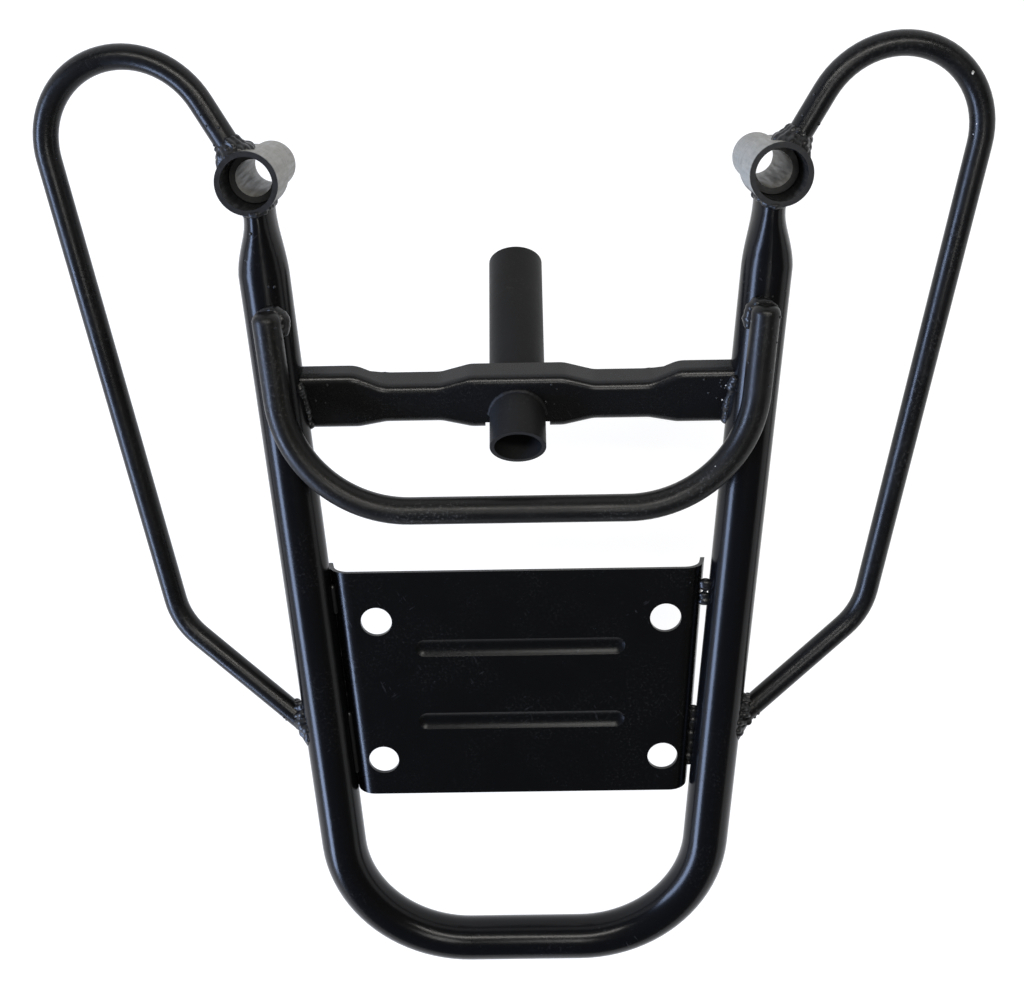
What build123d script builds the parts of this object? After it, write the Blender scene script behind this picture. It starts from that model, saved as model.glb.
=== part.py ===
from build123d import *
import math
import os

# Motorcycle luggage rack: a welded carrier of bent tube, round bar and pressed sheet.
# Millimetres. +Z is up, +Y points to the front bushings and +X to the right.
# The origin is the centre of the four-hole pattern on the top face of the carrier plate.
# "side" is -1 for the left half and +1 for the right half.

# Main U-bent tube
TUBE_OD = 22.2
TUBE_WALL = 1.5
TUBE_DROP = 5.0               # tube centre plane below the top face of the plate
LEG_HALF_SPACING = 97.0       # leg axis to mid plane, measured at y = 0
LEG_SPLAY_DEG = 3.45          # each leg opens outwards towards the front
REAR_BAR_Y = -148.0           # centreline of the rear bar
REAR_BEND_R = 63.5

# Front end of each leg, pressed from round to a tall oval before welding
PRESS_LENGTH = 42.0           # from the bushing axis back to where the tube is still round
PRESS_WIDTH = 13.8
PRESS_HEIGHT = 23.0
PRESS_SHIFT = 1.8             # the oval ends up this far towards the mid plane
PRESS_SHARES = (              # share of the pressed length, share of the way from round to oval
    (1.0, 0.0), (0.94, 0.01), (0.82, 0.15), (0.62, 0.58), (0.46, 0.92), (0.36, 1.0), (0.15, 1.0))

# Front bushings, two sizes of pipe that slip into each other
BUSHING_Y = 243.3
CUP_OD = 26.7
CUP_WALL = 2.3
CUP_ABOVE = 12.0              # rim above the tube centre plane
CUP_LENGTH = 29.0
SLEEVE_OD = 21.3
SLEEVE_WALL = 2.65
SLEEVE_LENGTH = 49.0
SLEEVE_INSERT = 10.0          # length of sleeve inside the cup

# Grab loops
LOOP_D = 10.6                 # round bar
LOOP_START_DEG = 29.6         # heading away from the cup, outwards from +Y
LOOP_TOP_R = 36.5
LOOP_RUN_DEG = 8.6            # the long run leans inwards towards the rear
LOOP_CORNER_OUT = 65.6        # the rear corner stands this far out from the leg axis
LOOP_CORNER_Y = 32.8
LOOP_CORNER_DROP = 10.0       # the rear corner hangs below the tube centre plane
LOOP_CORNER_R = 32.0
LOOP_END_Y = -29.9            # where the bar's line meets the leg axis

# Front hoop
HOOP_D = 12.5                 # round bar
HOOP_TIP_Y = 190.0
HOOP_BAR_Y = 98.3
HOOP_BEND_R = 56.0
HOOP_INSET = 1.5              # arm axis inside the leg axis, seen from above
HOOP_SEAT_GAP = 0.05
HOOP_TIP_ROUND = 4.0

# Cross channel, pressed from sheet with wavy edges, open side down
CHANNEL_SHEET = 2.5
CHANNEL_Y = 144.7
CHANNEL_RISE = 1.4            # middle of the web above the tube centre plane
CHANNEL_LEAN_DEG = 20.0       # the web falls away to the rear
CHANNEL_UPPER = (13.5, 7.2, 11.3)     # front edge ahead of the web middle: end, waist, centre
CHANNEL_LOWER = (15.5, 12.8, 16.4)    # rear edge behind the web middle: end, waist, centre
CHANNEL_END_RUN = 22.5        # length of the broad stretch at each end
CHANNEL_END_STEP = 12.6       # length over which a broad end narrows to the waist
CHANNEL_CENTRE_HALF = 21.0    # half length of the broad stretch in the middle
CHANNEL_CENTRE_STEP = 13.5    # length over which the middle narrows to the waist
CHANNEL_WAVE_R = 12.0
CHANNEL_BEND_R = 4.0          # outside radius of the folds
CHANNEL_FLANGE = 12.8         # depth of the flanges
CHANNEL_END_FLANGE = 9.6      # depth of the flanges along the broad ends

# Centre post
POST_OD = 25.4
POST_WALL = 2.0
POST_LENGTH = 104.2
POST_LEAN_DEG = 40.0          # the post leans back from upright
POST_MOUTH_Y = 125.7
POST_MOUTH_RISE = 11.3        # centre of the upper mouth above the tube centre plane
POST_NOTCH = 2.0              # room beside the post where the rear flange is cut away

# Carrier plate
PLATE_SHEET = 2.0
PLATE_FRONT = 62.8
PLATE_REAR = 56.8
PLATE_FLANGE = 13.0           # depth of the side flanges
PLATE_FLARE_DEG = 12.0        # the flanges open outwards
PLATE_BEND_R = 9.5            # outside radius of the folds
PLATE_LEFT_GAPS = (0.1, 0.1)  # flange to leg at the front and the rear
PLATE_RIGHT_GAPS = (3.4, 1.4)
HOLE_D = 14.7
HOLE_SPACING_X = 137.0
HOLE_SPACING_Y = 75.0
GROOVE_LENGTH = 100.0
GROOVE_R = 9.5
GROOVE_DEPTH = 1.1
GROOVE_X = -0.5               # middle of the grooves
GROOVE_YS = (23.2, -16.2)

# Weld metal
WELD_LEG = 3.0                # leg length of the fillet beads
WELD_TIP = 0.5                # thickness where a bead runs out
WELD_COVER = 1.5              # how far a plate bead laps over the gap that it fills
LEG_WELD_GROWTH = 1.7         # how far the bead stands out from the pressed leg end
SLEEVE_WELD_ROOT = 1.5        # depth of weld in the slip clearance round the sleeve
LOOP_WELD_LEG = 3.8           # growth of the collars at the ends of the loops
LOOP_WELD_REACH = 4.5         # run-out of these collars along the bar
HOOP_WELD_RUN = 9.0           # the bead runs on along both sides of the arm
HOOP_WELD_LEG = 1.5
HOOP_WELD_CREST = 2.0         # top of the bead below the arm axis
HOOP_WELD_DROP = 6.0          # foot of the bead below the top of the leg
HOOP_WELD_ROOT = 2.5          # unfilled width under the arm
CHANNEL_WELD_R = 2.6
POST_WELD_R = 2.0
POST_WELD_DEG = 180.0         # the bead covers the front half of the joint
PLATE_WELD_RISE = 1.0         # plate beads above the tube centre plane
PLATE_WELDS = {               # front and rear end of each bead
    "left_front": (54.0, 42.0),
    "left_rear": (-14.0, -45.0),
    "right_front": (55.0, 42.0),
    "right_rear": (-14.0, -45.0),
}

# Places worked out from the sizes above
TUBE_R = TUBE_OD / 2
LOOP_R = LOOP_D / 2
HOOP_R = HOOP_D / 2
CUP_R = CUP_OD / 2
POST_R = POST_OD / 2
TUBE_Z = -TUBE_DROP
LEG_SLOPE = math.tan(math.radians(LEG_SPLAY_DEG))
CUP_TOP = TUBE_Z + CUP_ABOVE
CUP_BOTTOM = CUP_TOP - CUP_LENGTH
SLEEVE_TOP = CUP_BOTTOM + SLEEVE_INSERT
UP = Vector(0, 0, 1)


def leg_x(y):
    return LEG_HALF_SPACING + y * LEG_SLOPE


def leg_point(side, y):
    return Vector(side * leg_x(y), y, TUBE_Z)


def leg_direction(side):
    return Vector(side * LEG_SLOPE, 1, 0).normalized()


def bushing_centre(side):
    return leg_point(side, BUSHING_Y)


def rod(start, direction, radius, length):
    place = Plane(origin=start, z_dir=direction)
    return place * Cylinder(radius, length, align=(Align.CENTER, Align.CENTER, Align.MIN))


def cone(start, direction, radius, tip_radius, length):
    place = Plane(origin=start, z_dir=direction)
    return place * Cone(radius, tip_radius, length, align=(Align.CENTER, Align.CENTER, Align.MIN))


def round_sweep(path, radius):
    place = Plane(origin=path @ 0, z_dir=path % 0)
    return sweep(place * Circle(radius), path=path)


def leg_envelope(side):
    # the straight leg as a full rod, used to cope what butts against it
    start = leg_point(side, REAR_BAR_Y)
    length = (bushing_centre(side) - start).length
    return rod(start, leg_direction(side), TUBE_R, length)


def cup_envelope(side):
    bottom = bushing_centre(side)
    bottom.Z = CUP_BOTTOM
    return rod(bottom, UP, CUP_R, CUP_LENGTH)


def pressed_sections(side, inset):
    forward = leg_direction(side)
    inwards = Vector(-side * forward.Y, side * forward.X, 0)
    sections = []
    for back, share in PRESS_SHARES:
        width = TUBE_OD + (PRESS_WIDTH - TUBE_OD) * share
        height = TUBE_OD + (PRESS_HEIGHT - TUBE_OD) * share
        middle = bushing_centre(side) - forward * (PRESS_LENGTH * back) + inwards * (PRESS_SHIFT * share)
        place = Plane(origin=middle, x_dir=inwards, z_dir=forward)
        if share == 0.0:
            sections.append(place * Circle(TUBE_R - inset))
        else:
            sections.append(place * Ellipse(width / 2 - inset, height / 2 - inset))
    return sections


def main_frame_tube():
    press_y = BUSHING_Y - PRESS_LENGTH * leg_direction(1).Y
    path = FilletPolyline(leg_point(-1, press_y), leg_point(-1, REAR_BAR_Y),
                          leg_point(1, REAR_BAR_Y), leg_point(1, press_y), radius=REAR_BEND_R)
    tube = round_sweep(path, TUBE_R) - round_sweep(path, TUBE_R - TUBE_WALL)
    for side in (-1, 1):
        tube += loft(pressed_sections(side, 0)) - loft(pressed_sections(side, TUBE_WALL))
    for side in (-1, 1):
        tube -= cup_envelope(side)
    return tube


def bushing_cup(side):
    bottom = bushing_centre(side)
    bottom.Z = CUP_BOTTOM
    return cup_envelope(side) - rod(bottom, UP, CUP_R - CUP_WALL, CUP_LENGTH)


def bushing_sleeve(side):
    bottom = bushing_centre(side)
    bottom.Z = SLEEVE_TOP - SLEEVE_LENGTH
    outside = rod(bottom, UP, SLEEVE_OD / 2, SLEEVE_LENGTH)
    return outside - rod(bottom, UP, SLEEVE_OD / 2 - SLEEVE_WALL, SLEEVE_LENGTH)


def loop_points(side):
    # corner points of the bar's centreline, from the cup axis to the leg axis
    start = bushing_centre(side)
    out = math.radians(LOOP_START_DEG)
    lean = math.radians(LOOP_RUN_DEG)
    corner_x = leg_x(LOOP_CORNER_Y) + LOOP_CORNER_OUT
    rear = Vector(side * corner_x, LOOP_CORNER_Y, TUBE_Z - LOOP_CORNER_DROP)
    reach_x = corner_x - side * start.X
    reach_y = LOOP_CORNER_Y - start.Y
    along = (reach_x * math.cos(lean) - reach_y * math.sin(lean)) / math.sin(out - lean)
    top = start + Vector(side * math.sin(out), math.cos(out), 0) * along
    return start, top, rear, leg_point(side, LOOP_END_Y)


def grab_loop(side):
    path = FilletPolyline(*loop_points(side), radius=[LOOP_TOP_R, LOOP_CORNER_R])
    return round_sweep(path, LOOP_R) - cup_envelope(side) - leg_envelope(side)


def hoop_height():
    return TUBE_Z + math.sqrt((TUBE_R + HOOP_R + HOOP_SEAT_GAP) ** 2 - HOOP_INSET ** 2)


def hoop_point(side, y):
    return Vector(side * (leg_x(y) - HOOP_INSET), y, hoop_height())


def front_hoop():
    path = FilletPolyline(hoop_point(-1, HOOP_TIP_Y), hoop_point(-1, HOOP_BAR_Y),
                          hoop_point(1, HOOP_BAR_Y), hoop_point(1, HOOP_TIP_Y), radius=HOOP_BEND_R)
    bar = round_sweep(path, HOOP_R)
    tips = bar.faces().filter_by(GeomType.PLANE).edges()
    return fillet(tips, HOOP_TIP_ROUND)


def channel_plane():
    lean = math.radians(CHANNEL_LEAN_DEG)
    return Plane(origin=(0, CHANNEL_Y, TUBE_Z + CHANNEL_RISE), x_dir=(1, 0, 0),
                 z_dir=(0, -math.sin(lean), math.cos(lean)))


def channel_reach():
    # the channel runs past the inner side of the legs and is coped to them
    return leg_x(CHANNEL_Y) - TUBE_R / 2


def mirrored(right):
    return [(-x, y) for x, y in reversed(right)] + right


def broad_end():
    # where the broad end stretch begins, from the mid plane
    return leg_x(CHANNEL_Y) - TUBE_R - CHANNEL_END_RUN


def wavy_edge(heights, reach):
    end, waist, centre = heights
    return FilletPolyline(*mirrored([(CHANNEL_CENTRE_HALF, centre),
                                     (CHANNEL_CENTRE_HALF + CHANNEL_CENTRE_STEP, waist),
                                     (broad_end() - CHANNEL_END_STEP, waist),
                                     (broad_end(), end), (reach, end)]), radius=CHANNEL_WAVE_R)


def channel_outline(inset, reach):
    upper = wavy_edge([height - inset for height in CHANNEL_UPPER], reach)
    lower = wavy_edge([inset - height for height in CHANNEL_LOWER], reach)
    ends = [Line(upper @ 0, lower @ 0), Line(upper @ 1, lower @ 1)]
    return make_face(Curve() + [upper, lower] + ends)


def flange_trim(reach):
    # the flanges are shallower along the broad ends
    waist_out = broad_end() - CHANNEL_END_STEP
    back = mirrored([(waist_out, -CHANNEL_FLANGE), (waist_out + CHANNEL_END_STEP / 2, -CHANNEL_END_FLANGE),
                     (reach, -CHANNEL_END_FLANGE)])
    profile = make_face(Polyline(*back, (reach, CHANNEL_SHEET), (-reach, CHANNEL_SHEET), close=True))
    span = max(CHANNEL_UPPER + CHANNEL_LOWER) + CHANNEL_SHEET
    return extrude(Plane.XZ * profile, span, both=True)


def post_plane():
    # upper mouth of the post, looking out along its axis
    lean = math.radians(POST_LEAN_DEG)
    return Plane(origin=(0, POST_MOUTH_Y, TUBE_Z + POST_MOUTH_RISE), x_dir=(1, 0, 0),
                 z_dir=(0, -math.sin(lean), math.cos(lean)))


def post_rod(radius):
    return post_plane() * Cylinder(radius, POST_LENGTH, align=(Align.CENTER, Align.CENTER, Align.MAX))


def post_crossing():
    # where the post axis passes the face of the web, as a distance ahead of the web middle
    plane = channel_plane()
    axis = post_plane()
    height = plane.to_local_coords(axis.origin).Z
    cosine = axis.z_dir.dot(plane.z_dir)
    return plane.to_local_coords(axis.origin - axis.z_dir * (height / cosine)).Y


def cross_channel():
    reach = channel_reach()
    tray = extrude(channel_outline(0, reach), -CHANNEL_FLANGE)
    rim = tray.faces().sort_by(Axis.Z)[-1].edges()
    folds = rim.filter_by(lambda edge: abs(edge.center().X) < reach - CHANNEL_SHEET)
    tray = fillet(folds, CHANNEL_BEND_R)
    inside = extrude(channel_outline(CHANNEL_SHEET, reach + CHANNEL_SHEET), -CHANNEL_FLANGE)
    tray -= Pos(0, 0, -CHANNEL_SHEET) * inside
    rear_flange = -max(CHANNEL_LOWER) + CHANNEL_BEND_R
    notch = Pos(0, rear_flange, 0) * Box(POST_OD + 2 * POST_NOTCH, CHANNEL_FLANGE, 3 * CHANNEL_FLANGE,
                                         align=(Align.CENTER, Align.MAX, Align.CENTER))
    channel = channel_plane() * ((tray & flange_trim(reach)) - notch) - post_rod(POST_R)
    for side in (-1, 1):
        channel -= leg_envelope(side)
    return channel


def centre_post():
    return post_rod(POST_R) - post_rod(POST_R - POST_WALL)


def plate_gap(side, y):
    front, rear = PLATE_LEFT_GAPS if side < 0 else PLATE_RIGHT_GAPS
    share = (y + PLATE_REAR) / (PLATE_FRONT + PLATE_REAR)
    return rear + (front - rear) * share


def flange_x(side, y, z):
    # outer face of a side flange, which leans out and passes the leg at the wanted gap
    flare = math.radians(PLATE_FLARE_DEG)
    clear = (TUBE_R + plate_gap(side, y)) / math.cos(flare)
    return leg_x(y) - clear - (z - TUBE_Z) * math.tan(flare)


def plate_profile(y):
    flare = math.radians(PLATE_FLARE_DEG)
    fold_in = PLATE_SHEET * (1 - math.sin(flare)) / math.cos(flare)
    foot_in = PLATE_SHEET / math.cos(flare)
    outer = []
    inner = []
    for side in (-1, 1):
        corner = (side * flange_x(side, y, 0), 0)
        foot = (side * flange_x(side, y, -PLATE_FLANGE), -PLATE_FLANGE)
        inner_corner = (corner[0] - side * fold_in, -PLATE_SHEET)
        inner_foot = (foot[0] - side * foot_in, -PLATE_FLANGE)
        outer += [foot, corner] if side < 0 else [corner, foot]
        inner += [inner_foot, inner_corner] if side < 0 else [inner_corner, inner_foot]
    outside = FilletPolyline(*outer, radius=PLATE_BEND_R)
    inside = FilletPolyline(*inner, radius=PLATE_BEND_R - PLATE_SHEET)
    feet = [Line(outside @ 0, inside @ 0), Line(outside @ 1, inside @ 1)]
    place = Plane(origin=(0, y, 0), x_dir=(1, 0, 0), z_dir=(0, -1, 0))
    return place * make_face(Curve() + [outside, inside] + feet)


def capsule(start, end, radius):
    bar = rod(start, (end - start).normalized(), radius, (end - start).length)
    return bar + Pos(*start) * Sphere(radius) + Pos(*end) * Sphere(radius)


def groove(y, radius):
    height = GROOVE_R - GROOVE_DEPTH
    half = GROOVE_LENGTH / 2 - math.sqrt(GROOVE_R ** 2 - height ** 2)
    return capsule(Vector(GROOVE_X - half, y, height), Vector(GROOVE_X + half, y, height), radius)


def carrier_plate():
    plate = loft([plate_profile(PLATE_FRONT), plate_profile(-PLATE_REAR)], ruled=True)
    size = 2 * leg_x(PLATE_FRONT)
    below = Box(size, size, size, align=(Align.CENTER, Align.CENTER, Align.MAX))
    for y in GROOVE_YS:
        plate += groove(y, GROOVE_R + PLATE_SHEET) & below
    for y in GROOVE_YS:
        plate -= groove(y, GROOVE_R)
    for x in (-HOLE_SPACING_X / 2, HOLE_SPACING_X / 2):
        for y in (-HOLE_SPACING_Y / 2, HOLE_SPACING_Y / 2):
            plate -= Pos(x, y, 0) * Cylinder(HOLE_D / 2, 4 * PLATE_SHEET)
    return plate


def leg_weld(side):
    # bead around the pressed end of the leg, against the cup
    forward = leg_direction(side)
    inwards = Vector(-side * forward.Y, side * forward.X, 0)
    middle = bushing_centre(side) + inwards * PRESS_SHIFT
    rings = []
    for distance, growth in ((CUP_R - WELD_LEG, LEG_WELD_GROWTH), (CUP_R + WELD_LEG, WELD_TIP)):
        place = Plane(origin=middle - forward * distance, x_dir=inwards, z_dir=forward)
        rings.append(place * Ellipse(PRESS_WIDTH / 2 + growth, PRESS_HEIGHT / 2 + growth / 2))
    return loft(rings) - loft(pressed_sections(side, 0)) - cup_envelope(side)


def sleeve_weld(side):
    # fillet under the cup that also fills the slip clearance round the sleeve
    sleeve_r = SLEEVE_OD / 2
    bore_r = CUP_R - CUP_WALL
    section = make_face(Polyline((sleeve_r, SLEEVE_WELD_ROOT), (bore_r, SLEEVE_WELD_ROOT), (bore_r, 0),
                                 (CUP_R - WELD_TIP, 0), (sleeve_r, -WELD_LEG), close=True))
    bottom = bushing_centre(side)
    bottom.Z = CUP_BOTTOM
    return Pos(*bottom) * revolve(Plane.XZ * section, Axis.Z)


def loop_weld(start, towards, depth, envelope):
    # conical fillet round the end of a loop, where the bar leaves a wall at this depth
    heading = (towards - start).normalized()
    base = start + heading * (depth / 2)
    reach = depth / 2 + LOOP_WELD_REACH
    collar = cone(base, heading, LOOP_R + LOOP_WELD_LEG, LOOP_R + WELD_TIP, reach)
    return collar - envelope - rod(start, heading, LOOP_R, depth + 2 * LOOP_WELD_REACH)


def loop_cup_weld(side):
    # shaped once at the right cup and mirrored to the left one
    start, top = loop_points(1)[:2]
    weld = loop_weld(start, top, CUP_R, cup_envelope(1))
    return weld if side > 0 else mirror(weld, about=Plane.YZ)


def loop_leg_weld(side):
    rear, end = loop_points(side)[2:]
    return loop_weld(end, rear, TUBE_R, leg_envelope(side))


def hoop_weld(side, hoop):
    # skirt of weld from the flanks and tip of the arm down to the leg
    forward = leg_direction(side)
    tip = hoop_point(side, HOOP_TIP_Y) - forward * HOOP_R
    middle = Plane(origin=tip - forward * (HOOP_WELD_RUN / 2), x_dir=forward, z_dir=UP)
    crest = SlotCenterToCenter(HOOP_WELD_RUN, 2 * (HOOP_R - WELD_TIP))
    foot = SlotCenterToCenter(HOOP_WELD_RUN, 2 * (HOOP_R + HOOP_WELD_LEG))
    foot_depth = HOOP_R + HOOP_WELD_DROP
    root = Box(HOOP_WELD_RUN + 2 * HOOP_R, HOOP_WELD_ROOT, 2 * HOOP_D)
    skirt = loft([middle.offset(-foot_depth) * foot, middle.offset(-HOOP_WELD_CREST) * crest])
    skirt -= middle * root
    return skirt - hoop - leg_envelope(side)


def channel_weld(side):
    # bead down the corner between the face of the web and the inner side of the leg
    place = channel_plane()
    points = []
    for height in (CHANNEL_UPPER[0] - CHANNEL_BEND_R, 0, CHANNEL_BEND_R - CHANNEL_LOWER[0]):
        on_face = place.from_local_coords(Vector(0, height, 0))
        away = math.sqrt(TUBE_R ** 2 - (on_face.Z - TUBE_Z) ** 2)
        points.append(Vector(side * (leg_x(on_face.Y) - away), on_face.Y, on_face.Z))
    bead = round_sweep(ThreePointArc(*points), CHANNEL_WELD_R)
    size = 2 * channel_reach()
    under_web = place * Box(2 * size, size, size, align=(Align.CENTER, Align.CENTER, Align.MAX))
    return bead - under_web - leg_envelope(side)


def post_weld(channel):
    # bead over the front half of the slanted joint between the post and the web
    slant = math.radians(POST_LEAN_DEG - CHANNEL_LEAN_DEG)
    place = channel_plane() * Pos(0, post_crossing(), 0)
    joint = place * EllipticalCenterArc((0, 0), POST_R, POST_R / math.cos(slant), 0, arc_size=POST_WELD_DEG)
    return round_sweep(joint, POST_WELD_R) - channel - post_rod(POST_R)


def plate_weld(name, plate):
    side = -1 if name.startswith("left") else 1
    front, rear = PLATE_WELDS[name]
    z = TUBE_Z + PLATE_WELD_RISE
    away = math.sqrt(TUBE_R ** 2 - PLATE_WELD_RISE ** 2)
    ends = []
    for y in (front, rear):
        leg_face = leg_x(y) - away
        ends.append(Vector(side * (leg_face + flange_x(side, y, z)) / 2, y, z))
    gap = leg_x(front) - away - flange_x(side, front, z)
    return capsule(*ends, gap / 2 + WELD_COVER) - plate - leg_envelope(side)


NODES = {
    "main_frame_tube": main_frame_tube(),
    "front_hoop": front_hoop(),
    "cross_channel": cross_channel(),
    "centre_post": centre_post(),
    "carrier_plate": carrier_plate(),
}
NODES["post_weld"] = post_weld(NODES["cross_channel"])
for side, word in ((-1, "left"), (1, "right")):
    NODES[f"{word}_bushing_cup"] = bushing_cup(side)
    NODES[f"{word}_bushing_sleeve"] = bushing_sleeve(side)
    NODES[f"{word}_grab_loop"] = grab_loop(side)
    NODES[f"{word}_leg_weld"] = leg_weld(side)
    NODES[f"{word}_sleeve_weld"] = sleeve_weld(side)
    NODES[f"{word}_loop_cup_weld"] = loop_cup_weld(side)
    NODES[f"{word}_loop_leg_weld"] = loop_leg_weld(side)
    NODES[f"{word}_hoop_weld"] = hoop_weld(side, NODES["front_hoop"])
    NODES[f"{word}_channel_weld"] = channel_weld(side)
for name in PLATE_WELDS:
    NODES[f"{name}_plate_weld"] = plate_weld(name, NODES["carrier_plate"])

os.makedirs("parts", exist_ok=True)
for name, solid in NODES.items():
    export_step(solid, f"parts/{name}.step")
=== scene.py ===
# %% [markdown]
# # A welded motorcycle luggage rack
# The solids of this rack come out of a CAD model with their right sizes and places. They are
# loaded here as a fixed frame, and the lesson adds what a picture needs: a camera, a plain
# studio, paint, weld beads and spatter. Blender counts in metres, so a size in millimetres is
# multiplied by MM. +Z is up and +Y points to the two front bushings.

# %% Load the solids
import math
import random

import bpy
from mathutils import Matrix, Vector


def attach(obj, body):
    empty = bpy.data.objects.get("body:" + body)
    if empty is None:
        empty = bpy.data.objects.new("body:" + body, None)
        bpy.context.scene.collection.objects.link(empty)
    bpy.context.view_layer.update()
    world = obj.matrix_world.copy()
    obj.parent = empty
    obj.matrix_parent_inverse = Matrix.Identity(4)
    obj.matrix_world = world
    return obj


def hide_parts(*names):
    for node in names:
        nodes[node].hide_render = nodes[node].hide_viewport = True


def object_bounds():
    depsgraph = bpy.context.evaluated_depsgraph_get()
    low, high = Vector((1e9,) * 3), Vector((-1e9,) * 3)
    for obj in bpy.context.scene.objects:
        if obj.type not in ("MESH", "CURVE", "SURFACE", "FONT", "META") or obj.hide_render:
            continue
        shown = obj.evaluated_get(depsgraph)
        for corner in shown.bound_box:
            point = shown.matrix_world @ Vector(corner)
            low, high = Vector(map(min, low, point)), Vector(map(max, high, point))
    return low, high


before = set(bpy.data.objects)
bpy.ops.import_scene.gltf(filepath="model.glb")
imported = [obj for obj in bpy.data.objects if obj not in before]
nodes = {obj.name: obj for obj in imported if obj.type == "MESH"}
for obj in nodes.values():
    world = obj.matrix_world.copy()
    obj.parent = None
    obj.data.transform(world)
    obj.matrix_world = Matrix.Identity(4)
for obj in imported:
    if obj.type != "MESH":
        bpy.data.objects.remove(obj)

MM = 0.001
UP = Vector((0, 0, 1))
cad_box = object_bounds()


def rounded(values):
    return [round(value, 4) for value in values]


print(len(nodes), "solids, box from", rounded(cad_box[0]), "to", rounded(cad_box[1]))

# %% [markdown]
# ## The camera
# The photo was taken from above the front half of the rack, looking down with a lean of about
# twenty degrees. A camera can be placed by eye, but here its place, turns and lens were fitted to
# the outline of the rack, so that the solids fall on the photo. Zero rotation looks straight
# down. The turn about X leans the view towards the rear bar, and the two small turns about Z
# straighten it.

# %% Camera
CAMERA_LENS = 48.33
CAMERA_PLACE = (1.58, 319.45, 589.11)       # millimetres
CAMERA_TURNS = (("Z", -1.229), ("X", -20.384), ("Z", 0.261))        # degrees

camera_data = bpy.data.cameras.new("photo_camera")
camera_data.lens = CAMERA_LENS
camera = bpy.data.objects.new("photo_camera", camera_data)
bpy.context.scene.collection.objects.link(camera)
placed = Matrix.Translation(Vector(CAMERA_PLACE) * MM)
for axis, degrees in CAMERA_TURNS:
    placed = placed @ Matrix.Rotation(math.radians(degrees), 4, axis)
camera.matrix_world = placed
bpy.context.scene.camera = camera
bpy.context.scene.view_settings.view_transform = "Standard"
print("camera at", rounded(camera.location))

# %% [markdown]
# ## Small helpers
# Four helpers keep the later cells short. One deselects everything, because an operator acts on
# all that is selected. The others build shader trees, so that a material reads like a recipe: one
# feeds plain values or links into a node, one adds a node and feeds it, and one adds a Math node.
# A socket is named by its label, or by i and its number where labels repeat.


# %% Helpers
def deselect_all():
    for thing in bpy.context.selected_objects:
        thing.select_set(False)


def feed(tree, node, **inputs):
    for name, value in inputs.items():
        numbered = name[0] == "i" and name[1:].isdigit()
        socket = node.inputs[int(name[1:]) if numbered else name.replace("_", " ")]
        if isinstance(value, bpy.types.NodeSocket):
            tree.links.new(value, socket)
        else:
            socket.default_value = value


def add_node(tree, kind, settings=None, **inputs):
    node = tree.nodes.new("ShaderNode" + kind)
    for name, value in (settings or {}).items():
        setattr(node, name, value)
    feed(tree, node, **inputs)
    return node


def math_node(tree, operation, first, second=0.5):
    return add_node(tree, "Math", {"operation": operation}, i0=first, i1=second).outputs[0]


deselect_all()
print("helpers ready")

# %% [markdown]
# ## The studio
# The photo is cut out on white. A white picture could come from very strong lamps, but they would
# also bleach the paint. Instead the floor and a low wall round it are seen as white by camera,
# glossy and transmission rays, while other rays meet a plain pale surface. A share of the floor's
# white is real reflected light, so the rack still drops a soft shadow on it.

# %% Floor and wall
PALE = (0.8, 0.8, 0.8, 1)                   # what the other rays meet
SHADED = (0.2, 0.2, 0.2, 1)                 # share of the white that can take a shadow
GLOW = 0.93                                 # share that is always there
RACK_MIDDLE = Vector((0, 0.07, 0))
FLOOR_SIZE = 8.0
FLOOR_Z = cad_box[0].z - 0.5 * MM           # just clear of the lowest point
WALL_RADIUS = 3.9
WALL_HEIGHT = 1.5

stage_paint = bpy.data.materials.new("studio_white")
stage_paint.use_nodes = True
tree = stage_paint.node_tree
tree.nodes.clear()
rays = add_node(tree, "LightPath").outputs
seen = math_node(tree, "MAXIMUM", rays["Is Camera Ray"], rays["Is Glossy Ray"])
seen = math_node(tree, "MAXIMUM", seen, rays["Is Transmission Ray"])
plain = add_node(tree, "BsdfDiffuse", Color=PALE).outputs[0]
shaded = add_node(tree, "BsdfDiffuse", Color=SHADED).outputs[0]
glow = add_node(tree, "Emission", Color=(1, 1, 1, 1), Strength=GLOW).outputs[0]
white = add_node(tree, "AddShader", i0=shaded, i1=glow).outputs[0]
mixed = add_node(tree, "MixShader", Fac=seen, i1=plain, i2=white).outputs[0]
add_node(tree, "OutputMaterial", Surface=mixed)

bpy.ops.mesh.primitive_plane_add(size=FLOOR_SIZE, location=RACK_MIDDLE + UP * FLOOR_Z)
floor = bpy.context.object
floor.name = "studio_floor"
bpy.ops.mesh.primitive_cylinder_add(
    vertices=96, radius=WALL_RADIUS, depth=WALL_HEIGHT, end_fill_type="NOTHING",
    location=RACK_MIDDLE + UP * (FLOOR_Z + WALL_HEIGHT / 2))
wall = bpy.context.object
wall.name = "studio_wall"
for staged in (floor, wall):
    staged.data.materials.append(stage_paint)
deselect_all()
print("floor at", round(FLOOR_Z, 4))

# %% [markdown]
# ## The lamps
# The highlights in the photo tell where its light came from. Both legs carry a long bluish streak
# on their left side, which a window low on the left gives, and the rear bar has a thin neutral
# line on its front side. The loops are also a little lighter along the middle, from something
# soft overhead. The plate mirrors what is above the rear bar and stays black, so nothing bright
# hangs there. Three area lamps and a dim world copy that at a plain level.

# %% Lamps
WORLD_COLOUR = (1, 0.98, 0.95, 1)
WORLD_STRENGTH = 0.09


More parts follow.
